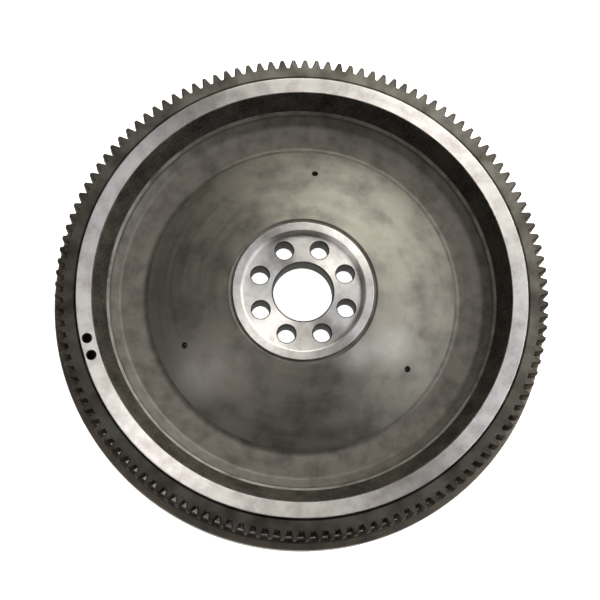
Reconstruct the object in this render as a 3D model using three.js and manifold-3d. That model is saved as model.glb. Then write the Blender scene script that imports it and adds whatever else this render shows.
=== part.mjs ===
// A diesel engine's flywheel: a deep-dished iron casting with a toothed steel ring shrunk onto its rim,
// and three dowels that locate the clutch cover. Millimetres, +Z along the crankshaft axis towards the
// engine. The origin is on that axis, at the level of the dowel ends, which is what the part stands on.
import * as THREE from "three";
import { mergeVertices } from "three/addons/utils/BufferGeometryUtils.js";
import Module from "manifold-3d";

const wasm = await Module();
wasm.setup();

// ---- Driving dimensions ----

const FIT_GAP = 0.3; // clearance left between pieces that are pressed or shrunk together
const EDGE_BREAK = 1; // chamfer on the casting's machined edges

// Ring gear
const TOOTH_COUNT = 129;
const MODULE = 3.175;
const PRESSURE_ANGLE = THREE.MathUtils.degToRad(20);
const DEDENDUM = 1.25; // depth of a tooth below the pitch circle, in modules
const FIRST_TOOTH_ANGLE = THREE.MathUtils.degToRad(-0.38);
const HOOP_THICKNESS = 10; // from the gear's bore to the roots of its teeth
const GEAR_WIDTH = 19;
const GEAR_SET_BACK = 1.3; // how far the gear's face lies behind the rim's face
const GEAR_INNER_CHAMFER = 1.7;
const GEAR_TIP_CHAMFER = 0.8;

// Rim and flange
const BODY_HEIGHT = 60; // from the clutch face to the rim's engine face
const RIM_WIDTH = 13.8;
const SHOULDER_STEP = 13.5; // how far the wall behind the gear stands out past the gear's seat
const FLANGE_STEP = 9; // how far the flange stands out past that wall
const FLANGE_THICKNESS = 15;
const FLANGE_FILLET = 3;

// Engine side of the dish, from the rim inwards: each stretch's width and drop
const WALL_WIDTH = 13.7;
const WALL_DROP = 21;
const LEDGE_WIDTH = 7.6;
const LEDGE_DROP = 5.5;
const FLOOR_WIDTH = 13.1;
const FLOOR_DROP = 1.5;
const GUTTER_WIDTH = 7.3;
const GUTTER_DROP = 1;
const WEB_TOP_DEPTH = 1.3; // where the web meets the hub, below the rim's engine face
const WEB_CROWN = 3; // how far the web bulges out of a plain cone
const WEB_THICKNESS = 16;

// Hub, from the bore outwards
const BORE_RADIUS = 25.3;
const BOLT_COUNT = 8;
const BOLT_CIRCLE_STEP = 13.7; // from the bore's wall to the bolt circle
const BOLT_HOLE_RADIUS = 7.6;
const BOLT_CHAMFER = 0.9;
const FIRST_BOLT_ANGLE = THREE.MathUtils.degToRad(23.5);
const SEAT_MARGIN = 12; // from the bolt circle to the edge of the crank seat
const LIP_TAPER = 1.7;
const LIP_WIDTH = 6.8;
const HUB_SKIRT = 3.4; // from the hub's edge to the web
const HUB_SEAT_DEPTH = 5.2;
const HUB_THICKNESS = 20.2;

// Clutch side
const RECESS_STEP = 27; // how far the friction ring reaches in past the gutter
const UNDERSIDE_STEP = 1.1; // how far the hub's flat underside reaches past the web's top
const COVER_CIRCLE_INSET = 7; // from the wall behind the gear
const FRICTION_INSET = 19; // from the cover screws' circle
const RELIEF_WIDTH = 4;
const RELIEF_DEPTH = 2;
const COVER_BOLT_COUNT = 9;
const COVER_BOLT_RADIUS = 4.25; // M10 tapping size
const COVER_BOLT_DEPTH = 24;
const DOWEL_COUNT = 3;
const DOWEL_RADIUS = 5;
const DOWEL_LENGTH = 20;
const DOWEL_STAND_OUT = 7;
const DOWEL_CHAMFER = 1;
const FIRST_DOWEL_ANGLE = THREE.MathUtils.degToRad(30);

// Holes in the dish and the rim
const DRAIN_COUNT = 3;
const DRAIN_RADIUS = 2.8;
const DRAIN_INSET = 26; // from the gutter
const FIRST_DRAIN_ANGLE = THREE.MathUtils.degToRad(83.7);
const BALANCE_HOLE_RADIUS = 4;
const BALANCE_HOLE_DEPTH = 12;
const BALANCE_CHAMFER = 0.4;
const BALANCE_INSET = 6; // from the gear's seat
const BALANCE_HOLE_ANGLES = [192.8, 197.4].map(THREE.MathUtils.degToRad);

// Facets round a full turn
const RIM_FACETS = 72;
const HOLE_FACETS = 20;
const SMALL_HOLE_FACETS = 12;

const PASS = 5; // how far a cutter runs past the surfaces that it goes through

// ---- Heights and radii that follow ----

const clutchFace = DOWEL_STAND_OUT;
const engineFace = clutchFace + BODY_HEIGHT;
const ledge = clutchFace + FLANGE_THICKNESS;
const wallFoot = engineFace - WALL_DROP;
const floorTop = wallFoot - LEDGE_DROP;
const floorFoot = floorTop - FLOOR_DROP;
const gutter = floorFoot - GUTTER_DROP;
const webTop = engineFace - WEB_TOP_DEPTH;
const hubSeat = engineFace - HUB_SEAT_DEPTH;
const hubUnderside = hubSeat - HUB_THICKNESS;
const gearFace = engineFace - GEAR_SET_BACK;
const gearBack = gearFace - GEAR_WIDTH;
const gearShoulder = gearBack - FIT_GAP;

const pitchRadius = (TOOTH_COUNT * MODULE) / 2;
const tipRadius = pitchRadius + MODULE;
const rootRadius = pitchRadius - DEDENDUM * MODULE;
const gearBoreRadius = rootRadius - HOOP_THICKNESS;
const gearSeatRadius = gearBoreRadius - FIT_GAP;
const wallRadius = gearSeatRadius + SHOULDER_STEP;
const flangeRadius = wallRadius + FLANGE_STEP;
const coverCircleRadius = wallRadius - COVER_CIRCLE_INSET;
const frictionRadius = coverCircleRadius - FRICTION_INSET;
const balanceCircleRadius = gearSeatRadius - BALANCE_INSET;
const rimInnerRadius = gearSeatRadius - RIM_WIDTH;
const wallFootRadius = rimInnerRadius - WALL_WIDTH;
const floorRadius = wallFootRadius - LEDGE_WIDTH;
const floorFootRadius = floorRadius - FLOOR_WIDTH;
const gutterRadius = floorFootRadius - GUTTER_WIDTH;
const recessRadius = gutterRadius - RECESS_STEP;
const drainCircleRadius = gutterRadius - DRAIN_INSET;

const boltCircleRadius = BORE_RADIUS + BOLT_CIRCLE_STEP;
const hubSeatRadius = boltCircleRadius + SEAT_MARGIN;
const hubLipRadius = hubSeatRadius + LIP_TAPER;
const hubRadius = hubLipRadius + LIP_WIDTH;
const webTopRadius = hubRadius + HUB_SKIRT;
const undersideRadius = webTopRadius + UNDERSIDE_STEP;

// ---- Solids ----

const point = (radius, height) => new THREE.Vector2(radius, height);

// The solid that a closed mesh bounds.
function solidOf(geometry) {
  const bare = geometry.clone();
  bare.deleteAttribute("normal");
  bare.deleteAttribute("uv");
  const merged = mergeVertices(bare, 1e-4);
  return new wasm.Manifold(
    new wasm.Mesh({
      numProp: 3,
      vertProperties: merged.attributes.position.array,
      triVerts: new Uint32Array(merged.index.array),
    }),
  );
}

function geometryOf(solid) {
  const { vertProperties, triVerts } = solid.getMesh();
  const geometry = new THREE.BufferGeometry();
  geometry.setAttribute("position", new THREE.BufferAttribute(vertProperties, 3));
  geometry.setIndex(new THREE.BufferAttribute(triVerts, 1));
  geometry.computeVertexNormals();
  return geometry;
}

// A profile of (radius, height) points, turned about +Z. It runs anticlockwise round its material.
function turned(profile, facets) {
  return new THREE.LatheGeometry(profile, facets).rotateX(Math.PI / 2);
}

// The angles of count features, spread evenly round the axis.
const spread = (count, first = 0) =>
  Array.from({ length: count }, (_, index) => first + (index * 2 * Math.PI) / count);

// The web is a shallow dome: its height above the straight cone between its two ends is a parabola.
function domePoint(share) {
  const radius = THREE.MathUtils.lerp(gutterRadius, webTopRadius, share);
  const cone = THREE.MathUtils.lerp(gutter, webTop, share);
  return point(radius, cone + 4 * WEB_CROWN * share * (1 - share));
}

// The dome's level and its slope angle at a radius.
function domeAt(radius) {
  const share = (gutterRadius - radius) / (gutterRadius - webTopRadius);
  const step = 0.01;
  const run = domePoint(share + step).sub(domePoint(share - step));
  return { level: domePoint(share).y, slope: Math.atan2(run.y, -run.x) };
}

// The shares of a curve at which its points lie, both ends included.
const shares = (count) => Array.from({ length: count + 1 }, (_, index) => index / count);

// The web's underside, which leaves the hub level and steepens towards the recess wall.
function undersidePoint(share) {
  const outer = domeAt(recessRadius).level - WEB_THICKNESS;
  const radius = THREE.MathUtils.lerp(undersideRadius, recessRadius, share);
  return point(radius, THREE.MathUtils.lerp(hubUnderside, outer, share * share * (2 - share)));
}

// A quarter round that fills the inside corner between the flange and the wall above it.
function flangeFilletPoint(share) {
  const turn = (share * Math.PI) / 2;
  return point(
    wallRadius + FLANGE_FILLET * (1 - Math.sin(turn)),
    ledge + FLANGE_FILLET * (1 - Math.cos(turn)),
  );
}

// The casting's section, from the bore's lower edge out along the clutch side and back along the engine side.
function bodyProfile() {
  const profile = [
    point(BORE_RADIUS + EDGE_BREAK, hubUnderside),
    ...shares(5).map(undersidePoint),
    point(recessRadius, clutchFace + EDGE_BREAK),
    point(recessRadius + EDGE_BREAK, clutchFace),
    point(frictionRadius, clutchFace),
    point(frictionRadius, clutchFace + RELIEF_DEPTH),
    point(frictionRadius + RELIEF_WIDTH, clutchFace + RELIEF_DEPTH),
    point(frictionRadius + RELIEF_WIDTH, clutchFace),
    point(flangeRadius - EDGE_BREAK, clutchFace),
    point(flangeRadius, clutchFace + EDGE_BREAK),
    point(flangeRadius, ledge - EDGE_BREAK),
    point(flangeRadius - EDGE_BREAK, ledge),
    ...shares(3).map(flangeFilletPoint),
    point(wallRadius, gearShoulder),
    point(gearSeatRadius, gearShoulder),
    point(gearSeatRadius, engineFace - EDGE_BREAK),
    point(gearSeatRadius - EDGE_BREAK, engineFace),
    point(rimInnerRadius, engineFace),
    point(wallFootRadius, wallFoot),
    point(floorRadius, floorTop),
    point(floorFootRadius, floorFoot),
    ...shares(6).map(domePoint),
    point(hubRadius + EDGE_BREAK, webTop),
    point(hubRadius, engineFace),
    point(hubLipRadius, engineFace),
    point(hubSeatRadius, hubSeat),
    point(BORE_RADIUS + EDGE_BREAK, hubSeat),
    point(BORE_RADIUS, hubSeat - EDGE_BREAK),
    point(BORE_RADIUS, hubUnderside + EDGE_BREAK),
  ];
  return [...profile, profile[0].clone()];
}

// A drill on +Z that opens out in a 45 degree cone where it breaks a surface at the mouth.
function chamferedDrill(radius, from, mouth, chamfer) {
  const to = mouth + PASS;
  return turned(
    [
      point(0, from),
      point(radius, from),
      point(radius, mouth - chamfer),
      point(radius + chamfer + PASS, to),
      point(0, to),
    ],
    HOLE_FACETS,
  );
}

// A drill that enters the clutch face and stops inside it, with its point as a cone.
function blindDrill(radius, depth) {
  return turned(
    [
      point(0, clutchFace - PASS),
      point(radius, clutchFace - PASS),
      point(radius, clutchFace + depth),
      point(0, clutchFace + depth + radius / 2),
    ],
    HOLE_FACETS,
  );
}

// The drains are drilled square to the sloping web, so they lean towards the axis on their way down.
function drainDrill() {
  const { level, slope } = domeAt(drainCircleRadius);
  return new THREE.CylinderGeometry(DRAIN_RADIUS, DRAIN_RADIUS, 3 * WEB_THICKNESS, SMALL_HOLE_FACETS)
    .rotateX(Math.PI / 2)
    .rotateY(slope)
    .translate(0, 0, level);
}

// The dowels and the cover screws share a circle, and each dowel stands midway between two screws.
const dowelAngles = spread(DOWEL_COUNT, FIRST_DOWEL_ANGLE);
const coverBoltAngles = spread(COVER_BOLT_COUNT, FIRST_DOWEL_ANGLE + Math.PI / COVER_BOLT_COUNT);

function flywheelBody() {
  const crankBolt = chamferedDrill(BOLT_HOLE_RADIUS, hubUnderside - PASS, hubSeat, BOLT_CHAMFER);
  const balanceFloor = engineFace - BALANCE_HOLE_DEPTH;
  const balanceHole = chamferedDrill(BALANCE_HOLE_RADIUS, balanceFloor, engineFace, BALANCE_CHAMFER);
  const coverBolt = blindDrill(COVER_BOLT_RADIUS, COVER_BOLT_DEPTH);
  const dowelHole = blindDrill(DOWEL_RADIUS + FIT_GAP, DOWEL_LENGTH - DOWEL_STAND_OUT + FIT_GAP);
  const drilled = [
    [crankBolt, boltCircleRadius, spread(BOLT_COUNT, FIRST_BOLT_ANGLE)],
    [drainDrill(), drainCircleRadius, spread(DRAIN_COUNT, FIRST_DRAIN_ANGLE)],
    [balanceHole, balanceCircleRadius, BALANCE_HOLE_ANGLES],
    [coverBolt, coverCircleRadius, coverBoltAngles],
    [dowelHole, coverCircleRadius, dowelAngles],
  ];
  const cuts = drilled.flatMap(([hole, radius, angles]) =>
    angles.map((angle) => hole.clone().translate(radius, 0, 0).rotateZ(angle)),
  );
  const casting = solidOf(turned(bodyProfile(), RIM_FACETS));
  return geometryOf(cuts.reduce((solid, cut) => solid.subtract(solidOf(cut)), casting));
}

// Half the angle that an involute tooth spans at a radius.
function halfToothAngle(radius) {
  const involute = (angle) => Math.tan(angle) - angle;
  const local = Math.acos((pitchRadius * Math.cos(PRESSURE_ANGLE)) / radius);
  return Math.PI / (2 * TOOTH_COUNT) + involute(PRESSURE_ANGLE) - involute(local);
}

// The gear's outline: up one flank of each tooth and down the other.
function gearOutline() {
  const radii = [rootRadius, pitchRadius, tipRadius];
  const flank = (centre, side, list) =>
    list.map((radius) => {
      const angle = centre + side * halfToothAngle(radius);
      return point(radius * Math.cos(angle), radius * Math.sin(angle));
    });
  return spread(TOOTH_COUNT, FIRST_TOOTH_ANGLE).flatMap((centre) => [
    ...flank(centre, -1, radii),
    ...flank(centre, 1, [...radii].reverse()),
  ]);
}

// The ring that takes a 45 degree chamfer off a round upper edge.
// side is 1 on an outside edge and -1 on a bore's.
function edgeCutter(radius, height, chamfer, side) {
  const far = radius + side * PASS;
  const profile = [
    point(far, height + PASS),
    point(radius - side * (chamfer + PASS), height + PASS),
    point(far, height - chamfer - PASS),
    point(far, height + PASS),
  ];
  return turned(side > 0 ? profile : profile.reverse(), RIM_FACETS);
}

function ringGear() {
  const outline = new THREE.Shape(gearOutline());
  const bore = new THREE.Path().absarc(0, 0, gearBoreRadius, 0, 2 * Math.PI);
  outline.holes.push(bore);
  const toothed = new THREE.ExtrudeGeometry(outline, {
    depth: GEAR_WIDTH,
    bevelEnabled: false,
    curveSegments: RIM_FACETS / 2,
  }).translate(0, 0, gearBack);
  const tipBevel = edgeCutter(tipRadius, gearFace, GEAR_TIP_CHAMFER, 1);
  const boreBevel = edgeCutter(gearBoreRadius, gearFace, GEAR_INNER_CHAMFER, -1);
  return geometryOf(solidOf(toothed).subtract(solidOf(tipBevel)).subtract(solidOf(boreBevel)));
}

function clutchDowel() {
  const top = DOWEL_LENGTH;
  return turned(
    [
      point(0, 0),
      point(DOWEL_RADIUS - DOWEL_CHAMFER, 0),
      point(DOWEL_RADIUS, DOWEL_CHAMFER),
      point(DOWEL_RADIUS, top - DOWEL_CHAMFER),
      point(DOWEL_RADIUS - DOWEL_CHAMFER, top),
      point(0, top),
    ],
    HOLE_FACETS,
  );
}

// ---- The assembly ----

const castIron = { color: 0x6f6c64, roughness: 0.55, metalness: 0.8 };
const darkSteel = { color: 0x4b4a48, roughness: 0.45, metalness: 0.9 };
const groundSteel = { color: 0xb9b9bb, roughness: 0.25, metalness: 1 };

function piece(name, geometry, finish) {
  const mesh = new THREE.Mesh(geometry, new THREE.MeshStandardMaterial(finish));
  mesh.name = name;
  return mesh;
}

const flywheel = new THREE.Group();
flywheel.add(piece("flywheel_body", flywheelBody(), castIron));
flywheel.add(piece("ring_gear", ringGear(), darkSteel));

dowelAngles.forEach((angle, index) => {
  const dowel = piece(`clutch_dowel_${index + 1}`, clutchDowel(), groundSteel);
  dowel.position.set(coverCircleRadius * Math.cos(angle), coverCircleRadius * Math.sin(angle), 0);
  dowel.rotation.z = angle;
  flywheel.add(dowel);
});

export default flywheel;
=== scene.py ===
import math

import bpy
import numpy as np
from bpy.props import FloatProperty, IntProperty, PointerProperty, StringProperty
from mathutils import Matrix, Vector


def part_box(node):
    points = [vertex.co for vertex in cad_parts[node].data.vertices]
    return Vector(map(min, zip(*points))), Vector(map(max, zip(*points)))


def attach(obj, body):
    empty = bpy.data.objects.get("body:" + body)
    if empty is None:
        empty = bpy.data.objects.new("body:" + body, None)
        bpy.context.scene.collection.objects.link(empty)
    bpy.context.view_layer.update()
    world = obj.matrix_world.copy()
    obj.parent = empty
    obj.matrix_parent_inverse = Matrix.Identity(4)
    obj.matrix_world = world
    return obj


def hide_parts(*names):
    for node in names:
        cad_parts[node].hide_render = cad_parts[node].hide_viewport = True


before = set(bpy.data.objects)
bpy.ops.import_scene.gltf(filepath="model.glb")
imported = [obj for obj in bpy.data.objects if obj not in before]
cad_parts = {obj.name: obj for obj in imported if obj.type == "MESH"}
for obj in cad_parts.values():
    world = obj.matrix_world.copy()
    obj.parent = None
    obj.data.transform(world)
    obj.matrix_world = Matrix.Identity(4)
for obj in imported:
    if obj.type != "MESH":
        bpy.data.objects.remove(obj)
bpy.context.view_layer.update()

bl_info = {
    "name": "Diesel flywheel",
    "version": (1, 0, 0),
    "blender": (4, 5, 0),
    "location": "3D View > Sidebar > Flywheel",
    "description": "Builds a deep-dished flywheel with its starter ring gear around the packed frame",
    "category": "Add Mesh",
}

MM = 0.001
BODY_LOW, BODY_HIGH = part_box("flywheel_body")
GEAR_LOW, GEAR_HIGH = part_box("ring_gear")
DOWELS = [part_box(name) for name in sorted(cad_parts) if name.startswith("clutch_dowel")]
CLUTCH_FACE, ENGINE_FACE = BODY_LOW[2], BODY_HIGH[2]
FLANGE_RADIUS = BODY_HIGH[0]

# Turned sections round the casting, enough that its outline stays round to 0.02 mm.
CASTING_COLUMNS = 272

# Finishes of the casting, in the order of its material slots.
BRIGHT, DISH, FLOOR, CAST, HOLE_SHADE, FLANGE_LIGHT, HIGHLIGHT_BAND = range(7)

# How far a drill runs past the surface it breaks through.
PAST = 3 * MM

# Share of the dish's wall, up from its foot, that is turned and not left as cast, in a pale tone that paints the
# highlight along the wall's foot.
HIGHLIGHT_BAND_SHARE = 0.22

# Lighter patches on the web: painted highlights at 308 and 328 degrees below and right of the hub, and a lighter smear
# at 217 degrees; bearing in degrees, radius, reach and strength.
HIGHLIGHT_AND_SMEAR_PATCHES = (
    (328, 85 * MM, 32 * MM, 0.6),
    (308, 68 * MM, 26 * MM, 0.6),
    (217, 110 * MM, 42 * MM, 0.55),
)


# ---- Sizes and colours ----


def length(name, description, millimetres):
    return FloatProperty(
        name=name, description=description, default=millimetres * MM, unit="LENGTH", subtype="DISTANCE", precision=5
    )


def angle(name, description, degrees):
    return FloatProperty(
        name=name, description=description, default=math.radians(degrees), unit="ROTATION", subtype="ANGLE"
    )


def colour(name, description, code):
    return StringProperty(name=name, description=description, default=code)


class RimSizes(bpy.types.PropertyGroup):
    """Sizes of the rim, the flange and the dish's wall."""

    flange_step: length("Flange step", "How far the flange stands out past the wall behind the gear", 9)
    flange_thickness: length("Flange thickness", "Height of the clutch-side flange", 15)
    flange_fillet: length("Flange fillet", "Round between the flange and the wall", 3)
    shoulder_step: length("Shoulder step", "How far that wall stands out past the gear's seat", 13.5)
    rim_width: length("Rim width", "Width of the rim's engine face", 13.8)
    wall_width: length("Wall width", "Width of the dish's sloping wall, seen from the engine", 13.7)
    wall_drop: length("Wall drop", "Height of the dish's wall", 21)
    ledge_width: length("Ledge width", "Width of the bevel at the wall's foot", 7.6)
    ledge_drop: length("Ledge drop", "Drop across that bevel", 5.5)
    floor_width: length("Floor width", "Width of the dish's floor", 13.1)
    floor_drop: length("Floor drop", "Drop across the floor", 1.5)
    gutter_width: length("Gutter width", "Width of the low strip at the web's foot", 7.3)
    gutter_drop: length("Gutter drop", "Drop across that strip", 1)


class HubSizes(bpy.types.PropertyGroup):
    """Sizes of the hub and the domed web."""

    bore_radius: length("Bore radius", "Radius of the hub's bore", 25.3)
    seat_radius: length("Seat radius", "Radius of the crank seat's floor", 51)
    lip_taper: length("Lip taper", "How far the wall round the seat leans out", 1.7)
    lip_width: length("Lip width", "Width of the raised lip round the seat", 6.8)
    skirt: length("Skirt", "Width of the turned step outside the lip", 3.4)
    skirt_groove: length("Skirt groove", "Depth of the tool's run-out in that step", 0.8)
    seat_depth: length("Seat depth", "Depth of the crank seat below the lip", 5.2)
    thickness: length("Thickness", "Thickness of the hub at the seat", 20.2)
    web_top_depth: length("Web top depth", "Depth at which the web meets the hub", 1.3)
    web_crown: length("Web crown", "How far the web bulges out of a plain cone", 3)
    web_thickness: length("Web thickness", "Thickness of the web at the recess wall", 16)
    underside_step: length("Underside step", "How far the hub's flat underside passes the web's top", 1.1)
    recess_step: length("Recess step", "How far the friction ring reaches in past the gutter", 27)


class HoleSizes(bpy.types.PropertyGroup):
    """Sizes and places of the drilled and tapped holes."""

    bolt_count: IntProperty(name="Crank bolts", description="Number of crank bolt holes", default=8)
    bolt_radius: length("Bolt hole radius", "Radius of a crank bolt hole", 7.6)
    bolt_circle: length("Bolt circle", "Radius of the crank bolt circle", 39)
    bolt_chamfer: length("Bolt chamfer", "Chamfer at a crank bolt hole's mouth", 0.9)
    bolt_angle: angle("Bolt angle", "Angle of the first crank bolt hole", 23.5)
    drain_count: IntProperty(name="Drains", description="Number of drain holes in the web", default=3)
    drain_radius: length("Drain radius", "Radius of a drain hole", 2.8)
    drain_inset: length("Drain inset", "Distance of the drains from the gutter", 26)
    drain_angle: angle("Drain angle", "Angle of the first drain hole", 83.7)
    balance_radius: length("Balance radius", "Radius of a balance drilling", 4)
    balance_depth: length("Balance depth", "Depth of a balance drilling", 12)
    balance_inset: length("Balance inset", "Distance of the drillings from the gear's seat", 6)
    balance_chamfer: length("Balance chamfer", "Chamfer at a balance drilling's mouth", 0.4)
    balance_first: angle("First drilling", "Angle of the first balance drilling", 192.8)
    balance_second: angle("Second drilling", "Angle of the second balance drilling", 197.4)
    cover_count: IntProperty(name="Cover screws", description="Number of tapped holes in the flange", default=9)
    cover_inset: length("Cover inset", "Distance of the cover screws from the wall behind the gear", 7)
    cover_core: length("Cover core", "Core radius of a tapped hole", 4.25)
    cover_thread: length("Thread depth", "Depth of a tapped hole's thread", 0.65)
    cover_pitch: length("Thread pitch", "Pitch of the thread", 1.5)
    cover_depth: length("Tapped depth", "Depth of a tapped hole", 24)
    dowel_angle: angle("Dowel angle", "Angle of the first dowel", 30)
    fit_gap: length("Fit gap", "Clearance round the dowels and inside the gear", 0.3)
    friction_inset: length("Friction inset", "Distance of the friction ring from the screws' circle", 19)
    relief_width: length("Relief width", "Width of the groove round the friction ring", 4)
    relief_depth: length("Relief depth", "Depth of that groove", 2)


class GearSizes(bpy.types.PropertyGroup):
    """Sizes of the starter ring gear."""

    teeth: IntProperty(name="Teeth", description="Number of teeth", default=129)
    module: length("Module", "Pitch diameter over the number of teeth", 3.175)
    pressure_angle: angle("Pressure angle", "Pressure angle of the involute", 20)
    dedendum: FloatProperty(name="Dedendum", description="Depth below the pitch circle, in modules", default=1.25)
    first_tooth: angle("First tooth", "Angle of the first tooth's middle", -0.38)
    hoop: length("Hoop thickness", "From the gear's bore to the roots of its teeth", 10)
    bore_chamfer: length("Bore chamfer", "Chamfer at the bore's engine side", 1.7)
    lead_chamfer: length("Lead chamfer", "Chamfer on the teeth's engine side", 0.9)
    back_chamfer: length("Back chamfer", "Chamfer on the gear's clutch side", 0.5)
    root_round: length("Root round", "Round at a tooth's root", 0.9)
    tip_round: length("Tip round", "Round at a tooth's tip", 0.25)


class FinishColours(bpy.types.PropertyGroup):
    """Colours of the finishes, as sRGB codes."""

    bright_iron: colour("Turned iron", "Freshly turned grey iron on the rim and hub", "#f8f6f2")
    bright_stain: colour("Rim stain", "Handling marks on the rim and hub", "#d9d1cf")
    dish_iron: colour("Oiled turned iron", "Turned and oiled iron in the dish", "#7e7b72")
    dish_stain: colour("Dish stain", "Old oil and handling marks in the dish", "#605d58")
    # Pale tone that paints the highlights in the dish and the band at the wall's foot
    dish_highlight_tone: colour("Rubbed iron", "Places in the dish that have been rubbed bright", "#b9b7b0")
    # A light tan painted on the flange for the light it gets in the gear's shade
    flange_light_tone: colour("Rust bloom", "Thin rust bloom where the turned iron is left bare", "#7c7566")
    # Darker iron laid on the dish's floor, its ledge and the groove round the hub
    floor_iron: colour("Grimy iron", "Oil and dust on the dish's floor", "#625e57")
    floor_stain: colour("Floor stain", "Oily dirt that has settled in the dish floor", "#4b4741")
    cast_skin: colour("Casting skin", "Fettled casting skin on the walls", "#5c5850")
    cast_grain: colour("Casting grain", "Sand grain in the casting skin", "#3a3733")
    gear_steel: colour("Gear steel", "Induction-hardened gear steel", "#68665f")
    gear_temper: colour("Temper tint", "Brown heat tint on the gear", "#46413c")
    dowel_steel: colour("Ground steel", "Ground dowel steel", "#cfcfd0")
    floor: colour("Floor", "Matt white studio floor", "#f6f6f4")


def linear(code):
    """Linear RGBA of an sRGB hex code: c / 12.92 up to 0.04045, and ((c + 0.055) / 1.055) ** 2.4 above it."""
    parts = [int(code[i : i + 2], 16) / 255 for i in (1, 3, 5)]
    return tuple(c / 12.92 if c <= 0.04045 else ((c + 0.055) / 1.055) ** 2.4 for c in parts) + (1.0,)


# ---- Outlines and surfaces ----


def rounded(corners, radii, steps=4, shelf=0.4 * MM):
    """A closed outline with each corner replaced by an arc of its own radius.

    The arc touches both sides at radius / tan(half the corner) from the corner, its centre lies on the
    bisector at radius / sin(half the corner), and its points are spread by slerp. A point on each side,
    a shelf's width past the arc, keeps the flats flat. Returns the points and the corner of each.
    """
    corners, radii = np.asarray(corners, float), np.asarray(radii, float)[:, None]
    towards = [np.roll(corners, shift, 0) - corners for shift in (1, -1)]
    reach = [np.linalg.norm(side, axis=1, keepdims=True) for side in towards]
    before, after = (side / size for side, size in zip(towards, reach))
    half = np.arccos(np.clip((before * after).sum(1, keepdims=True), -1, 1)) / 2
    tangent = radii / np.tan(half)
    bisector = before + after
    bisector = bisector / np.maximum(np.linalg.norm(bisector, axis=1, keepdims=True), 1e-12)
    centre = corners + bisector * radii / np.sin(half)
    start, end = corners + before * tangent - centre, corners + after * tangent - centre
    sweep = np.maximum(np.pi - 2 * half, 1e-6)[:, None, :]
    share = np.linspace(0, 1, steps + 1)[None, :, None]
    weights = np.sin((1 - share) * sweep) / np.sin(sweep), np.sin(share * sweep) / np.sin(sweep)
    arc = centre[:, None, :] + weights[0] * start[:, None, :] + weights[1] * end[:, None, :]
    spare = reach[0] - tangent - np.roll(tangent, 1, 0), reach[1] - tangent - np.roll(tangent, -1, 0)
    shelves = [np.minimum(shelf, room / 3) * (radii > 0) for room in spare]
    first = (corners + before * (tangent + shelves[0]))[:, None, :]
    last = (corners + after * (tangent + shelves[1]))[:, None, :]
    points = np.concatenate([first, arc, last], axis=1)
    owner = np.repeat(np.arange(len(corners)), points.shape[1])
    points = points.reshape(-1, 2)
    keep = np.linalg.norm(points - np.roll(points, 1, 0), axis=1) > 0.005 * MM
    return points[keep], owner[keep]


def grid_faces(columns, rows):
    """Quads of a grid that closes on itself both ways: columns round the axis, rows round the section."""
    column, row = np.meshgrid(np.arange(columns), np.arange(rows), indexing="ij")
    nxt, up = (column + 1) % columns, (row + 1) % rows
    quads = np.stack([column * rows + row, nxt * rows + row, nxt * rows + up, column * rows + up], axis=-1)
    return quads.reshape(-1, 4)


def revolved(outline, columns):
    """Ring of a closed outline turned about Z: (r, z) at turn t is (r cos t, r sin t, z)."""
    turn = np.linspace(0, 2 * np.pi, columns, endpoint=False)[:, None]
    radius, height = outline[None, :, 0], outline[None, :, 1]
    points = np.stack([radius * np.cos(turn), radius * np.sin(turn), height + 0 * turn], axis=-1)
    return points.reshape(-1, 3), grid_faces(columns, len(outline))


def plug(radii, heights, ends):
    """Solid of rings whose radius may vary with the turn, closed by a point on the axis at each end.

    radii is (columns, rows), heights is rows, and ring points are (r cos t, r sin t, z).
    """
    columns, rows = radii.shape
    turn = np.linspace(0, 2 * np.pi, columns, endpoint=False)[:, None]
    level = np.broadcast_to(heights, (columns, rows))
    rings = np.stack([radii * np.cos(turn), radii * np.sin(turn), level], axis=-1).reshape(-1, 3)
    poles = np.array([[0, 0, ends[0]], [0, 0, ends[1]]])
    column, row = np.meshgrid(np.arange(columns), np.arange(rows - 1), indexing="ij")
    nxt = (column + 1) % columns
    corner = [column * rows + row, nxt * rows + row, nxt * rows + row + 1, column * rows + row + 1]
    quads = np.stack(corner, axis=-1).reshape(-1, 4)
    here, there = np.arange(columns) * rows, (np.arange(columns) + 1) % columns * rows
    low = np.stack([there, here, np.full(columns, columns * rows)], axis=-1)
    high = np.stack([here + rows - 1, there + rows - 1, np.full(columns, columns * rows + 1)], axis=-1)
    return np.concatenate([rings, poles]), quads.tolist() + low.tolist() + high.tolist()


def spread(count, first=0.0):
    """Angles of count features set evenly round the axis."""
    return first + np.arange(count) * 2 * np.pi / count


def around(solid, radius, angles, lean=0.0, lift=0.0):
    """Copies of a solid, leant in its own XZ plane, moved out to a radius and turned to each angle."""
    points, faces = solid
    x = points[:, 0] * math.cos(lean) + points[:, 2] * math.sin(lean) + radius
    z = points[:, 2] * math.cos(lean) - points[:, 0] * math.sin(lean) + lift
    turned = [
        np.stack([x * math.cos(a) - points[:, 1] * math.sin(a), x * math.sin(a) + points[:, 1] * math.cos(a), z], -1)
        for a in angles
    ]
    copies = [[[corner + index * len(points) for corner in face] for face in faces] for index in range(len(angles))]
    return np.concatenate(turned), sum(copies, [])


def joined(solids):
    """Several solids as one set of points and faces."""
    starts = np.cumsum([0] + [len(points) for points, _ in solids])
    faces = [[corner + start for corner in face] for (_, group), start in zip(solids, starts) for face in group]
    return np.concatenate([points for points, _ in solids]), faces


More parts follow.
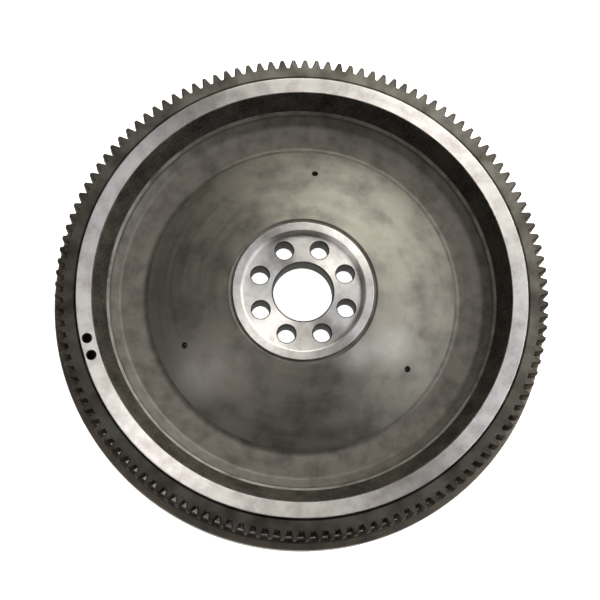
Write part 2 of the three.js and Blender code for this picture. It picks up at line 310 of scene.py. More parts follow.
def new_object(name, points, faces, finishes=None):
    """A mesh object at the origin, from an array of equal faces or a list of mixed ones."""
    mesh = bpy.data.meshes.new(name)
    if isinstance(faces, np.ndarray):
        mesh.vertices.add(len(points))
        mesh.vertices.foreach_set("co", points.astype(np.float32).ravel())
        mesh.loops.add(faces.size)
        mesh.loops.foreach_set("vertex_index", faces.astype(np.int32).ravel())
        mesh.polygons.add(len(faces))
        mesh.polygons.foreach_set("loop_start", np.arange(0, faces.size, faces.shape[1], dtype=np.int32))
    else:
        mesh.from_pydata(points.tolist(), [], faces)
    if finishes is not None:
        mesh.polygons.foreach_set("material_index", np.asarray(finishes, np.int32))
    mesh.update(calc_edges=True)
    made = bpy.data.objects.new(name, mesh)
    bpy.context.scene.collection.objects.link(made)
    return made


def shade(made):
    """Smooth faces, with an edge kept sharp where its faces turn by more than 28 degrees."""
    mesh = made.data
    mesh.polygons.foreach_set("use_smooth", np.ones(len(mesh.polygons), dtype=bool))
    mesh.set_sharp_from_angle(angle=math.radians(28))


# ---- Casting ----


def casting_radii(rim, hub, holes):
    """Radii that follow from the flange inwards and from the bore outwards."""
    wall = FLANGE_RADIUS - rim.flange_step
    seat = wall - rim.shoulder_step
    rim_inner = seat - rim.rim_width
    wall_foot = rim_inner - rim.wall_width
    floor = wall_foot - rim.ledge_width
    floor_foot = floor - rim.floor_width
    gutter = floor_foot - rim.gutter_width
    lip = hub.seat_radius + hub.lip_taper
    cover = wall - holes.cover_inset
    return {
        "wall": wall, "seat": seat, "rim_inner": rim_inner, "wall_foot": wall_foot, "floor": floor,
        "floor_foot": floor_foot, "gutter": gutter, "recess": gutter - hub.recess_step, "lip": lip,
        "hub": lip + hub.lip_width, "web_top": lip + hub.lip_width + hub.skirt, "cover": cover,
        "friction": cover - holes.friction_inset,
    }


def dome(share, radii, rim, hub):
    """Web's engine side: a straight cone from the gutter to the hub, plus a parabola of the crown's height."""
    gutter_depth = rim.wall_drop + rim.ledge_drop + rim.floor_drop + rim.gutter_drop
    radius = radii["gutter"] + (radii["web_top"] - radii["gutter"]) * share
    depth = gutter_depth + (hub.web_top_depth - gutter_depth) * share
    return radius, ENGINE_FACE - depth + 4 * hub.web_crown * share * (1 - share)


def dome_slope(radius, radii, rim, hub):
    """Level and slope of the dome at a radius, from the difference of two near points."""
    share = (radii["gutter"] - radius) / (radii["gutter"] - radii["web_top"])
    (r0, z0), (r1, z1) = (dome(share + step, radii, rim, hub) for step in (-0.001, 0.001))
    return (z0 + z1) / 2, math.atan2(z1 - z0, r0 - r1)


def casting_section(rim, hub, holes):
    """Corners, rounds and finishes of the casting's section, anticlockwise from the bore's lower edge."""
    at = casting_radii(rim, hub, holes)
    seat = ENGINE_FACE - hub.seat_depth
    under = seat - hub.thickness
    ledge = CLUTCH_FACE + rim.flange_thickness
    shoulder = GEAR_LOW[2] - holes.fit_gap
    share = np.linspace(0, 1, 25)
    outer = dome_slope(at["recess"], at, rim, hub)[0] - hub.web_thickness
    under_radius = at["web_top"] + hub.underside_step
    under_r = under_radius + (at["recess"] - under_radius) * share
    under_z = under + (outer - under) * share**2 * (2 - share)
    relief = at["friction"] + holes.relief_width
    drops = np.cumsum([rim.wall_drop, rim.ledge_drop, rim.floor_drop])
    dome_r, dome_z = dome(np.linspace(0, 1, 41), at, rim, hub)
    groove = ENGINE_FACE - hub.web_top_depth - hub.skirt_groove
    # radius, height, round in millimetres, finish of the stretch that follows
    corners = [(hub.bore_radius, under, 0.8, BRIGHT)]
    corners += [(r, z, 0, CAST) for r, z in zip(under_r[:-1], under_z[:-1])]
    corners += [
        (under_r[-1], under_z[-1], 4, BRIGHT),
        (at["recess"], CLUTCH_FACE, 0.8, BRIGHT),
        (at["friction"], CLUTCH_FACE, 0.2, BRIGHT),
        (at["friction"], CLUTCH_FACE + holes.relief_depth, 0.8, BRIGHT),
        (relief, CLUTCH_FACE + holes.relief_depth, 0.8, BRIGHT),
        (relief, CLUTCH_FACE, 0.2, BRIGHT),
        # The flange's side and face take the light tan painted for the light they get under the gear
        (FLANGE_RADIUS, CLUTCH_FACE, 1.0, FLANGE_LIGHT),
        (FLANGE_RADIUS, ledge, 1.0, FLANGE_LIGHT),
        (at["wall"], ledge, rim.flange_fillet / MM, CAST),
        (at["wall"], shoulder, 0.4, BRIGHT),
        (at["seat"], shoulder, 0.3, BRIGHT),
        (at["seat"], ENGINE_FACE, 0.9, BRIGHT),
        (at["rim_inner"], ENGINE_FACE, 0.6, CAST),
        # The band above the wall's foot takes the pale tone that paints its highlight
        (at["wall_foot"] + HIGHLIGHT_BAND_SHARE * rim.wall_width, ENGINE_FACE - (1 - HIGHLIGHT_BAND_SHARE) * drops[0], 0, HIGHLIGHT_BAND),
        (at["wall_foot"], ENGINE_FACE - drops[0], 6, FLOOR),
        (at["floor"], ENGINE_FACE - drops[1], 6, FLOOR),
        (at["floor_foot"], ENGINE_FACE - drops[2], 5, FLOOR),
        (dome_r[0], dome_z[0], 5, FLOOR),
    ]
    corners += [(r, z, 0, DISH) for r, z in zip(dome_r[2:-1], dome_z[2:-1])]
    corners += [
        (dome_r[-1], dome_z[-1], 0.6, FLOOR),
        (at["web_top"] - 0.4 * hub.skirt, groove, 0.5, FLOOR),
        (at["hub"] + 0.1 * hub.skirt, groove, 0.5, FLOOR),
        (at["hub"], ENGINE_FACE, 0.6, BRIGHT),
        (at["lip"], ENGINE_FACE, 0.8, BRIGHT),
        (hub.seat_radius, seat, 1.0, BRIGHT),
        # The bore's wall takes the dark hole finish, painted shade
        (hub.bore_radius, seat, 0.8, HOLE_SHADE),
    ]
    return np.array(corners)


def straight_drill(radius, low, mouth, chamfer, columns=48):
    """A drill of one radius that opens at 45 degrees where it breaks the surface at the mouth."""
    heights = np.array([low, mouth - chamfer, mouth + PAST])
    radii = np.array([radius, radius, radius + chamfer + PAST])
    return plug(np.broadcast_to(radii, (columns, 3)), heights, (low, mouth + PAST))


def tap(core, thread, pitch, depth, columns=36):
    """A tapped hole's space, from below the clutch face up to a drill point.

    The radius is the core plus a triangle wave of the thread's depth in z / pitch - t / 2 pi, and no
    less than a 45 degree countersink at the mouth. The last pitches of the depth are plain drill.
    """
    heights = np.arange(-2 * MM, depth, pitch / 6)[None, :]
    turn = np.linspace(0, 1, columns, endpoint=False)[:, None]
    wave = 1 - np.abs(2 * np.mod(heights / pitch - turn, 1) - 1)
    radii = core + thread * wave * (heights < depth - 3 * pitch)
    radii = np.maximum(radii, core + 1.6 * thread - heights)
    return plug(radii, heights[0] + CLUTCH_FACE, (CLUTCH_FACE - 2 * MM, CLUTCH_FACE + depth + core / 2))


def hole_cutters(rim, hub, holes):
    """Every drill and tap of the casting, as one set of points and faces."""
    at = casting_radii(rim, hub, holes)
    seat = ENGINE_FACE - hub.seat_depth
    under = seat - hub.thickness
    bolt = straight_drill(holes.bolt_radius, under - PAST, seat, holes.bolt_chamfer)
    balance = straight_drill(
        holes.balance_radius, ENGINE_FACE - holes.balance_depth, ENGINE_FACE, holes.balance_chamfer, 32
    )
    drain_radius = at["gutter"] - holes.drain_inset
    level, slope = dome_slope(drain_radius, at, rim, hub)
    reach = 1.5 * hub.web_thickness
    drain = straight_drill(holes.drain_radius, -reach, reach - PAST, 0, 24)
    cover = tap(holes.cover_core, holes.cover_thread, holes.cover_pitch, holes.cover_depth)
    low, high = DOWELS[0]
    dowel_radius, dowel_top = (high[0] - low[0]) / 2 + holes.fit_gap, high[2] + holes.fit_gap
    countersink = 0.6 * PAST
    ring = np.broadcast_to(np.array([dowel_radius + countersink + PAST, dowel_radius, dowel_radius]), (32, 3))
    levels = np.array([CLUTCH_FACE - PAST, CLUTCH_FACE + countersink, dowel_top])
    dowel = plug(ring, levels, (CLUTCH_FACE - PAST, dowel_top + dowel_radius / 3))
    cover_first = holes.dowel_angle + math.pi / holes.cover_count
    return joined([
        around(bolt, holes.bolt_circle, spread(holes.bolt_count, holes.bolt_angle)),
        around(balance, at["seat"] - holes.balance_inset, [holes.balance_first, holes.balance_second]),
        around(drain, drain_radius, spread(holes.drain_count, holes.drain_angle), slope, level),
        around(cover, at["cover"], spread(holes.cover_count, cover_first)),
        around(dowel, at["cover"], spread(len(DOWELS), holes.dowel_angle)),
    ])


def cut(made, cutter):
    """Subtracts the cutter from the object and keeps the result as its plain mesh."""
    step = made.modifiers.new("holes", "BOOLEAN")
    step.operation, step.object, step.solver = "DIFFERENCE", cutter, "MANIFOLD"
    graph = bpy.context.evaluated_depsgraph_get()
    result = bpy.data.meshes.new_from_object(made.evaluated_get(graph))
    made.modifiers.clear()
    old, made.data = made.data, result
    bpy.data.meshes.remove(old)
    bpy.data.objects.remove(cutter)
    if len(result.polygons) == 0:
        raise RuntimeError("the holes could not be cut from " + made.name)


# ---- Ring gear ----


def tooth_outline(gear):
    """Outline of the gear as corners and rounds, tooth by tooth, and the radius of the roots.

    Half a tooth's angle at radius r is pi / 2N + inv(pressure) - inv(arccos(base / r)), with
    inv(a) = tan(a) - a, which is the involute of the base circle.
    """
    pitch = gear.teeth * gear.module / 2
    root, tip = pitch - gear.dedendum * gear.module, pitch + gear.module
    radii = np.linspace(root, tip, 6)
    local = np.arccos(pitch * math.cos(gear.pressure_angle) / radii)
    half = math.pi / (2 * gear.teeth) + math.tan(gear.pressure_angle) - gear.pressure_angle
    half = half - (np.tan(local) - local)
    offsets = np.concatenate([-half, half[::-1]])
    reach = np.concatenate([radii, radii[::-1]])
    rounds = np.zeros(len(reach))
    rounds[[0, -1]], rounds[[5, 6]] = gear.root_round, gear.tip_round
    turn = spread(gear.teeth, gear.first_tooth)[:, None] + offsets[None, :]
    corners = np.stack([reach * np.cos(turn), reach * np.sin(turn)], axis=-1).reshape(-1, 2)
    return corners, np.tile(rounds, gear.teeth), root


def gear_surface(gear):
    """The hoop's surface: each point of the toothed outline carried round the hoop's section.

    The bore and the lands are circles at the outline point's own angle, and a chamfered row is the
    outline moved inwards along its normal.
    """
    corners, rounds, root = tooth_outline(gear)
    outline, _ = rounded(corners, rounds, steps=2, shelf=0.1 * MM)
    along = np.roll(outline, -1, 0) - np.roll(outline, 1, 0)
    inward = np.stack([-along[:, 1], along[:, 0]], -1) / np.linalg.norm(along, axis=1, keepdims=True)
    bearing = outline / np.linalg.norm(outline, axis=1, keepdims=True)
    bore, face, back = root - gear.hoop, GEAR_HIGH[2], GEAR_LOW[2]
    land = root - 2 * MM
    rows = [
        (bearing * bore, back + gear.back_chamfer),
        (bearing * (bore + gear.back_chamfer), back),
        (bearing * land, back),
        (outline + inward * gear.back_chamfer, back),
        (outline, back + gear.back_chamfer),
        (outline, face - gear.lead_chamfer),
        (outline + inward * gear.lead_chamfer, face),
        (bearing * land, face),
        (bearing * (bore + gear.bore_chamfer), face),
        (bearing * bore, face - gear.bore_chamfer),
    ]
    points = [np.concatenate([flat, np.full((len(flat), 1), level)], axis=1) for flat, level in rows]
    return np.stack(points, axis=1).reshape(-1, 3), grid_faces(len(outline), len(rows))


# ---- Finishes ----


def add(tree, kind, settings=None, links=None):
    """Adds a node, sets its properties or sockets by name, and links sockets from (node, output)."""
    made = tree.nodes.new(kind)
    for key, value in (settings or {}).items():
        if isinstance(key, str) and hasattr(made, key):
            setattr(made, key, value)
        else:
            made.inputs[key].default_value = value
    for key, (source, output) in (links or {}).items():
        tree.links.new(source.outputs[output], made.inputs[key])
    return made


def new_material(name, **sockets):
    """A material of one Principled shader with constant sockets. Returns it, its tree and its shader."""
    made = bpy.data.materials.new(name)
    made.use_nodes = True
    shader = made.node_tree.nodes["Principled BSDF"]
    for key, value in sockets.items():
        shader.inputs[key.replace("_", " ")].default_value = value
    return made, made.node_tree, shader


def finish(tree, shader, tint, gloss, relief=None):
    """Links a finish's colour, roughness and, where it has one, its relief to the shader."""
    tree.links.new(tint.outputs["Result"], shader.inputs["Base Color"])
    tree.links.new(gloss.outputs["Result"], shader.inputs["Roughness"])
    if relief:
        tree.links.new(relief.outputs["Normal"], shader.inputs["Normal"])


def lathe_streaks(tree, feed, around_detail, detail=3.0):
    """Noise drawn out along the lathe's grooves: fine across the radius, slow round the axis.

    Its coordinates are the unit direction from the axis times around_detail, plus radius / feed upwards,
    so the pattern has no seam. Returns the noise, and the direction across the grooves, which is the
    unit direction from the axis.
    """
    place = add(tree, "ShaderNodeTexCoord")
    flat = add(tree, "ShaderNodeVectorMath", {"operation": "MULTIPLY", 1: (1, 1, 0)}, {0: (place, "Object")})
    radius = add(tree, "ShaderNodeVectorMath", {"operation": "LENGTH"}, {0: (flat, "Vector")})
    bearing = add(tree, "ShaderNodeVectorMath", {"operation": "NORMALIZE"}, {0: (flat, "Vector")})
    slow = add(tree, "ShaderNodeVectorMath", {"operation": "SCALE", "Scale": around_detail}, {0: (bearing, "Vector")})
    cycles = add(tree, "ShaderNodeMath", {"operation": "DIVIDE", 1: feed}, {0: (radius, "Value")})
    rise = add(tree, "ShaderNodeCombineXYZ", links={"Z": (cycles, "Value")})
    coordinates = add(tree, "ShaderNodeVectorMath", {"operation": "ADD"}, {0: (slow, "Vector"), 1: (rise, "Vector")})
    noise = add(tree, "ShaderNodeTexNoise", {"Scale": 1.0, "Detail": detail}, {"Vector": (coordinates, "Vector")})
    return noise, bearing


def turned_iron(name, tones, metallic, roughness, anisotropy, patch, bright_patches=()):
    """Grey iron from the lathe: a hard light draws out across the grooves into a fan from the axis.

    tones are the clean, stained and pale colours, and patch is the size of the stains. Each bright patch is
    the bearing, radius, reach and strength of a lighter patch in the pale tone: painted highlights, and on the dish one
    lighter smear.
    """
    made, tree, shader = new_material(name, Metallic=metallic, Anisotropic=anisotropy)
    # The real feed is near 0.2 mm, too fine to show, so the streaks are drawn 1.1 mm apart.
    streaks, across = lathe_streaks(tree, 1.1 * MM, 2.0)
    bands, _ = lathe_streaks(tree, 9 * MM, 0.8, 1.0)
    place = add(tree, "ShaderNodeTexCoord")
    blotch = add(
        tree, "ShaderNodeTexNoise", {"Scale": 1 / patch, "Detail": 5.0, "Roughness": 0.6}, {"Vector": (place, "Object")}
    )
    cover = add(tree, "ShaderNodeMapRange", {"From Min": 0.42, "From Max": 0.68}, {"Value": (blotch, "Fac")})
    clean, stained, highlighted = (linear(tone) for tone in tones)
    tint = add(tree, "ShaderNodeMix", {"data_type": "RGBA", "A": clean, "B": stained}, {"Factor": (cover, "Result")})
    flat = add(tree, "ShaderNodeVectorMath", {"operation": "MULTIPLY", 1: (1, 1, 0)}, {0: (place, "Object")})
    # Each patch mixes in the pale tone: painted highlights, and on the dish one lighter smear
    for bearing, radius, reach, strength in bright_patches:
        turn = math.radians(bearing)
        middle = (radius * math.cos(turn), radius * math.sin(turn), 0)
        away = add(tree, "ShaderNodeVectorMath", {"operation": "DISTANCE", 1: middle}, {0: (flat, "Vector")})
        fade = add(
            tree, "ShaderNodeMapRange",
            {"interpolation_type": "SMOOTHERSTEP", "From Max": reach, "To Min": strength, "To Max": 0.0},
            {"Value": (away, "Value")},
        )
        patch_blotch = add(tree, "ShaderNodeMapRange", {"From Min": 0.3, "From Max": 0.6}, {"Value": (blotch, "Fac")})
        worn = add(tree, "ShaderNodeMath", {"operation": "MULTIPLY"}, {0: (fade, "Result"), 1: (patch_blotch, "Result")})
        tint = add(
            tree, "ShaderNodeMix", {"data_type": "RGBA", "B": highlighted},
            {"Factor": (worn, "Value"), "A": (tint, "Result")},
        )
    mixed = add(tree, "ShaderNodeMath", {"operation": "ADD"}, {0: (streaks, "Fac"), 1: (bands, "Fac")})
    tone = add(
        tree, "ShaderNodeMapRange", {"From Min": 0.6, "From Max": 1.4, "To Min": 0.86, "To Max": 1.0},
        {"Value": (mixed, "Value")},
    )
    shaded = add(
        tree, "ShaderNodeMix", {"data_type": "RGBA", "blend_type": "MULTIPLY", "Factor": 1.0},
        {"A": (tint, "Result"), "B": (tone, "Result")},
    )
    gloss = add(
        tree, "ShaderNodeMapRange",
        {"From Min": 0.6, "From Max": 1.4, "To Min": roughness - 0.06, "To Max": roughness + 0.08},
        {"Value": (mixed, "Value")},
    )
    bump = add(tree, "ShaderNodeBump", {"Strength": 0.35, "Distance": 0.03 * MM}, {"Height": (streaks, "Fac")})
    finish(tree, shader, shaded, gloss, bump)
    tree.links.new(across.outputs["Vector"], shader.inputs["Tangent"])
    return made


def cast_iron_skin(colours):
    """Shot-blasted sand casting: a dark, grainy skin with low swells and dull worn high spots.

    The sand's grain is near 0.4 mm, too fine to show, so it is drawn at 2.2 mm.
    """
    made, tree, shader = new_material("sand_cast_iron_skin", Metallic=0.85)
    place = add(tree, "ShaderNodeTexCoord")
    grain = add(tree, "ShaderNodeTexNoise", {"Scale": 1 / (2.2 * MM), "Detail": 3.0}, {"Vector": (place, "Object")})
    swell = add(tree, "ShaderNodeTexNoise", {"Scale": 1 / (16 * MM), "Detail": 3.0}, {"Vector": (place, "Object")})
    both = add(tree, "ShaderNodeMath", {"operation": "ADD"}, {0: (grain, "Fac"), 1: (swell, "Fac")})
    worn = add(tree, "ShaderNodeMapRange", {"From Min": 0.75, "From Max": 1.25}, {"Value": (both, "Value")})
    tint = add(
        tree, "ShaderNodeMix",
        {"data_type": "RGBA", "A": linear(colours.cast_grain), "B": linear(colours.cast_skin)},
        {"Factor": (worn, "Result")},
    )
    gloss = add(
        tree, "ShaderNodeMapRange", {"From Min": 0.3, "From Max": 0.7, "To Min": 0.44, "To Max": 0.62},
        {"Value": (swell, "Fac")},
    )
    fine = add(tree, "ShaderNodeBump", {"Strength": 0.3, "Distance": 0.1 * MM}, {"Height": (grain, "Fac")})
    low = add(
        tree, "ShaderNodeBump", {"Strength": 0.5, "Distance": 0.5 * MM},
        {"Height": (swell, "Fac"), "Normal": (fine, "Normal")},
    )
    finish(tree, shader, tint, gloss, low)
    return made


def hole_shade_iron():
    """Iron in a drilled hole: dark grey, a painted shade for the hole's walls, with rings from the drill's lips."""
    made, tree, shader = new_material("hole_shade_iron", Metallic=0.0)
    place = add(tree, "ShaderNodeTexCoord")
    drawn = add(tree, "ShaderNodeMapping", {"Scale": (60, 60, 1 / (0.8 * MM))}, {"Vector": (place, "Object")})
    rings = add(tree, "ShaderNodeTexNoise", {"Scale": 1.0, "Detail": 3.0}, {"Vector": (drawn, "Vector")})
    tint = add(
        tree, "ShaderNodeMix", {"data_type": "RGBA", "A": linear("#1b1a19"), "B": linear("#302e2b")},
        {"Factor": (rings, "Fac")},
    )
    gloss = add(
        tree, "ShaderNodeMapRange", {"From Min": 0.3, "From Max": 0.7, "To Min": 0.6, "To Max": 0.8},
        {"Value": (rings, "Fac")},
    )
    bump = add(tree, "ShaderNodeBump", {"Strength": 0.4, "Distance": 0.05 * MM}, {"Height": (rings, "Fac")})
    finish(tree, shader, tint, gloss, bump)
    return made


def hardened_steel(colours):
    """Induction-hardened gear steel: dark and half dull, with brown heat tint in soft patches.

    A grey specular tint keeps the teeth's flanks from turning white where they are seen edge on.
    """
    made, tree, shader = new_material("induction_hardened_steel", Metallic=1.0, Specular_Tint=linear("#8a8680"))
    place = add(tree, "ShaderNodeTexCoord")
    patch = add(tree, "ShaderNodeTexNoise", {"Scale": 1 / (22 * MM), "Detail": 4.0}, {"Vector": (place, "Object")})
    scratch = add(tree, "ShaderNodeTexNoise", {"Scale": 1 / (0.9 * MM), "Detail": 4.0}, {"Vector": (place, "Object")})
    heat = add(tree, "ShaderNodeMapRange", {"From Min": 0.38, "From Max": 0.66}, {"Value": (patch, "Fac")})
    tint = add(
        tree, "ShaderNodeMix",
        {"data_type": "RGBA", "A": linear(colours.gear_steel), "B": linear(colours.gear_temper)},
        {"Factor": (heat, "Result")},
    )
    gloss = add(
        tree, "ShaderNodeMapRange", {"From Min": 0.3, "From Max": 0.7, "To Min": 0.3, "To Max": 0.46},
        {"Value": (scratch, "Fac")},
    )
    bump = add(tree, "ShaderNodeBump", {"Strength": 0.3, "Distance": 0.04 * MM}, {"Height": (scratch, "Fac")})
    finish(tree, shader, tint, gloss, bump)
    return made


def ground_steel(colours):
    """Centreless-ground dowel steel: bright, with faint rings round the pin."""
    made, tree, shader = new_material("ground_dowel_steel", Metallic=1.0)
    place = add(tree, "ShaderNodeTexCoord")
    drawn = add(tree, "ShaderNodeMapping", {"Scale": (40, 40, 1 / (0.6 * MM))}, {"Vector": (place, "Object")})
    rings = add(tree, "ShaderNodeTexNoise", {"Scale": 1.0, "Detail": 2.0}, {"Vector": (drawn, "Vector")})
    gloss = add(
        tree, "ShaderNodeMapRange", {"From Min": 0.3, "From Max": 0.7, "To Min": 0.18, "To Max": 0.3},
        {"Value": (rings, "Fac")},
    )
    tint = add(
        tree, "ShaderNodeMix", {"data_type": "RGBA", "A": linear("#b4b3b1"), "B": linear(colours.dowel_steel)},
        {"Factor": (rings, "Fac")},
    )
    finish(tree, shader, tint, gloss)
    return made


# ---- Operators ----


class FLYWHEEL_OT_casting(bpy.types.Operator):
    """Turns the iron casting from its section and drills and taps its holes."""

    bl_idname = "flywheel.casting"
    bl_label = "Flywheel casting"

    def execute(self, context):
        scene = context.scene
        rim, hub, holes, colours = scene.rim_sizes, scene.hub_sizes, scene.hole_sizes, scene.finish_colours
        section = casting_section(rim, hub, holes)
        outline, owner = rounded(section[:, :2], section[:, 2] * MM)
        points, faces = revolved(outline, CASTING_COLUMNS)
        finishes = np.tile(section[owner, 3].astype(np.int32), CASTING_COLUMNS)
        made = new_object("casting", points, faces, finishes)
        cut_points, cut_faces = hole_cutters(rim, hub, holes)
        # The drills carry the dark hole finish, painted shade, onto the walls they cut
        cutter = new_object("drills", cut_points, cut_faces, np.full(len(cut_faces), HOLE_SHADE))
        for material in (
            # BRIGHT: a pale face whose grooves fan the light out from the axis, greyed by handling
            turned_iron(
                "turned_grey_iron", (colours.bright_iron, colours.bright_stain, colours.bright_iron),
                1.0, 0.5, 1.0, 14 * MM,
            ),
            # DISH: dark oiled iron with a soft sheen, with painted highlights below and right of the hub and a lighter
            # smear at its lower left
            turned_iron(
                "oiled_turned_iron", (colours.dish_iron, colours.dish_stain, colours.dish_highlight_tone),
                1.0, 0.52, 0.3, 30 * MM, HIGHLIGHT_AND_SMEAR_PATCHES,
            ),
            # FLOOR: half dull, darker iron on the dish's floor, its ledge and the groove round the hub, clouded by
            # blotches of oil and dust
            turned_iron(
                "dark_recess_iron", (colours.floor_iron, colours.floor_stain, colours.floor_iron),
                0.6, 0.5, 0.3, 16 * MM,
            ),
            cast_iron_skin(colours),
            hole_shade_iron(),
            # FLANGE_LIGHT: dull iron with little shine, its light tan painted light for the flange that lies in the
            # gear's shade
            turned_iron(
                "flange_painted_light_iron", (colours.flange_light_tone, colours.dish_stain, colours.flange_light_tone),
                0.6, 0.5, 0.4, 18 * MM,
            ),
            # HIGHLIGHT_BAND: a lighter band at the wall's foot, its pale tone a painted highlight on metal that also
            # catches the lamps
            turned_iron(
                "highlight_band_iron", (colours.dish_highlight_tone, colours.dish_iron, colours.dish_highlight_tone),
                1.0, 0.5, 0.4, 20 * MM,
            ),
        ):
            made.data.materials.append(material)
            cutter.data.materials.append(material)
        cut(made, cutter)
        shade(made)
        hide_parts("flywheel_body")
        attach(made, "root")
        return {"FINISHED"}


class FLYWHEEL_OT_ring_gear(bpy.types.Operator):
    """Cuts the starter ring gear's teeth round its hoop."""

    bl_idname = "flywheel.ring_gear"
    bl_label = "Starter ring gear"

    def execute(self, context):
        scene = context.scene
        points, faces = gear_surface(scene.gear_sizes)
        made = new_object("starter_ring_gear", points, faces)
        made.data.materials.append(hardened_steel(scene.finish_colours))
        shade(made)
        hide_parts("ring_gear")
        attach(made, "root")
        return {"FINISHED"}


class FLYWHEEL_OT_dowels(bpy.types.Operator):
    """Turns the three clutch-cover dowels where the frame has them."""

    bl_idname = "flywheel.dowels"
    bl_label = "Clutch dowels"

    def execute(self, context):
        finish = ground_steel(context.scene.finish_colours)
        for index, (low, high) in enumerate(DOWELS, start=1):
            radius = (high[0] - low[0]) / 2
            side = radius / 2
            corners = [(0, low[2]), (radius, low[2]), (radius, high[2]), (0, high[2]), (side, (low[2] + high[2]) / 2)]
            outline, owner = rounded(corners, np.array([0, 1.1, 1.1, 0, 0]) * MM, steps=5)
            skin = outline[(owner == 1) | (owner == 2)]
            middle = Vector(((low[0] + high[0]) / 2, (low[1] + high[1]) / 2))
            solid = plug(np.broadcast_to(skin[:, 0], (48, len(skin))), skin[:, 1], (low[2], high[2]))
            points, faces = around(solid, middle.length, [math.atan2(middle.y, middle.x)])
            made = new_object(f"dowel_{index}", points, faces)
            made.data.materials.append(finish)
            shade(made)
            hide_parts(f"clutch_dowel_{index}")
            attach(made, "root")
        return {"FINISHED"}


class FLYWHEEL_OT_stage(bpy.types.Operator):
    """Lays the floor and sets the lights and the camera."""

    bl_idname = "flywheel.stage"
    bl_label = "Studio"

    def execute(self, context):
        scene = context.scene
        lay_floor(scene)
        set_lights(scene)
        set_camera(scene)
        return {"FINISHED"}


def lay_floor(scene):
    """A square of matt white board, wide enough to fill the view behind the wheel from low angles.

    It gives off a little light of its own, so that it stays an even white without a hot spot.
    """
    half = 12.0
    points = np.array([[-half, -half, 0], [half, -half, 0], [half, half, 0], [-half, half, 0]])
    made = new_object("studio_floor", points, [[0, 1, 2, 3]])
    material, tree, shader = new_material("matt_white_floor", Roughness=0.9)
    place = add(tree, "ShaderNodeTexCoord")
    clouds = add(tree, "ShaderNodeTexNoise", {"Scale": 1 / (300 * MM), "Detail": 2.0}, {"Vector": (place, "Object")})
    tint = add(
        tree, "ShaderNodeMix",
        {"data_type": "RGBA", "A": linear("#f1f1ef"), "B": linear(scene.finish_colours.floor)},
        {"Factor": (clouds, "Fac")},
    )
    tree.links.new(tint.outputs["Result"], shader.inputs["Base Color"])
    shader.inputs["Emission Color"].default_value = (1, 1, 1, 1)
    shader.inputs["Emission Strength"].default_value = 0.85
    made.data.materials.append(material)


def set_lights(scene):
    """Softboxes aimed at the wheel's middle, and a faint even sky."""
    target = Vector((0, 0, ENGINE_FACE))
    # bearing from +X and elevation in degrees, distance and size in metres, watts, tint
    boxes = {
        "key": (62, 45, 1.9, (2.1, 0.85), 36, "#fffdf7"),
        "low_key": (60, 15, 1.9, (0.85, 0.85), 11, "#fffdf7"),
        "side_fill": (-5, 45, 1.9, (1.5, 0.85), 19, "#fafbff"),
        "back_fill": (-150, 60, 1.9, (0.85, 0.85), 7, "#fff9fb"),
    }
    for name, (bearing, rise, distance, size, power, tint) in boxes.items():
        light = bpy.data.lights.new(name, "AREA")
        light.shape, light.size, light.size_y, light.energy = "RECTANGLE", size[0], size[1], power
        light.color = linear(tint)[:3]
        made = bpy.data.objects.new(name, light)
        turn, tilt = math.radians(bearing), math.radians(rise)
        away = Vector((math.cos(turn) * math.cos(tilt), math.sin(turn) * math.cos(tilt), math.sin(tilt)))
        made.location = target + away * distance
        made.rotation_mode = "QUATERNION"
        made.rotation_quaternion = (-away).to_track_quat("-Z", "Y")
        scene.collection.objects.link(made)
    world = bpy.data.worlds.new("studio")
    world.use_nodes = True
    world.node_tree.nodes["Background"].inputs["Color"].default_value = (1, 1, 1, 1)
    world.node_tree.nodes["Background"].inputs["Strength"].default_value = 0.02
    scene.world = world
    scene.view_settings.view_transform = "Standard"


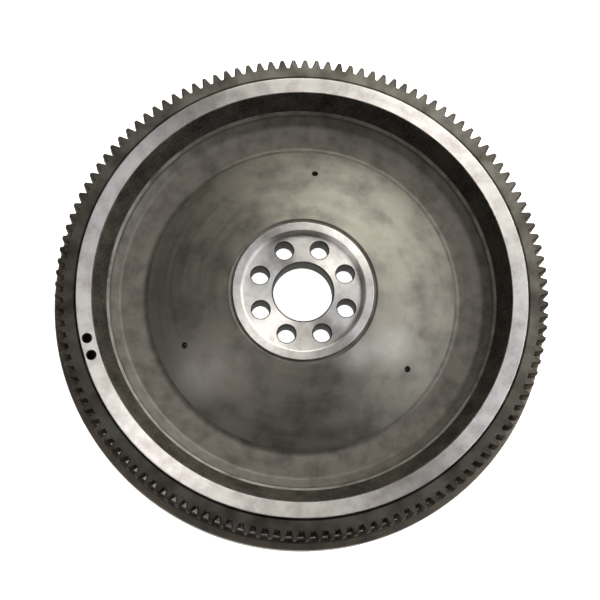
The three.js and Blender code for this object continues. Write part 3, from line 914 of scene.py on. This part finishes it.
def set_camera(scene):
    """A long lens above the wheel, leaning towards -Y and turned a little about its own axis."""
    aim = Vector((-2.97 * MM, -8.45 * MM, ENGINE_FACE))
    bearing, rise, roll, distance = math.radians(-10.684), math.radians(76.101), math.radians(10.378), 1.2487
    back = Vector((math.sin(bearing) * math.cos(rise), -math.cos(bearing) * math.cos(rise), math.sin(rise)))
    data = bpy.data.cameras.new("camera")
    data.lens, data.sensor_width = 89.33, 36
    data.clip_start, data.clip_end = 0.05, 50
    camera = bpy.data.objects.new("camera", data)
    looking = (-back).to_track_quat("-Z", "Y").to_matrix().to_4x4()
    camera.matrix_world = Matrix.Translation(aim + back * distance) @ looking @ Matrix.Rotation(roll, 4, "Z")
    scene.collection.objects.link(camera)
    scene.camera = camera


class FLYWHEEL_PT_sidebar(bpy.types.Panel):
    """Lists the flywheel's pieces."""

    bl_label = "Flywheel"
    bl_idname = "FLYWHEEL_PT_sidebar"
    bl_space_type = "VIEW_3D"
    bl_region_type = "UI"
    bl_category = "Flywheel"

    def draw(self, context):
        for step in STEPS:
            self.layout.operator(step.bl_idname)
        for name in GROUPS:
            group = getattr(context.scene, name)
            box = self.layout.box()
            for key in group.bl_rna.properties.keys():
                if key not in ("rna_type", "name"):
                    box.prop(group, key)


STEPS = (FLYWHEEL_OT_casting, FLYWHEEL_OT_ring_gear, FLYWHEEL_OT_dowels, FLYWHEEL_OT_stage)
GROUPS = {
    "rim_sizes": RimSizes,
    "hub_sizes": HubSizes,
    "hole_sizes": HoleSizes,
    "gear_sizes": GearSizes,
    "finish_colours": FinishColours,
}


def register():
    for kind in (*GROUPS.values(), *STEPS, FLYWHEEL_PT_sidebar):
        bpy.utils.register_class(kind)
    for name, kind in GROUPS.items():
        setattr(bpy.types.Scene, name, PointerProperty(type=kind))


def unregister():
    for name in GROUPS:
        delattr(bpy.types.Scene, name)
    for kind in (FLYWHEEL_PT_sidebar, *reversed(STEPS), *reversed(list(GROUPS.values()))):
        bpy.utils.unregister_class(kind)


def main():
    register()
    for step in STEPS:
        group, name = step.bl_idname.split(".")
        getattr(getattr(bpy.ops, group), name)()


if __name__ == "__main__":
    main()
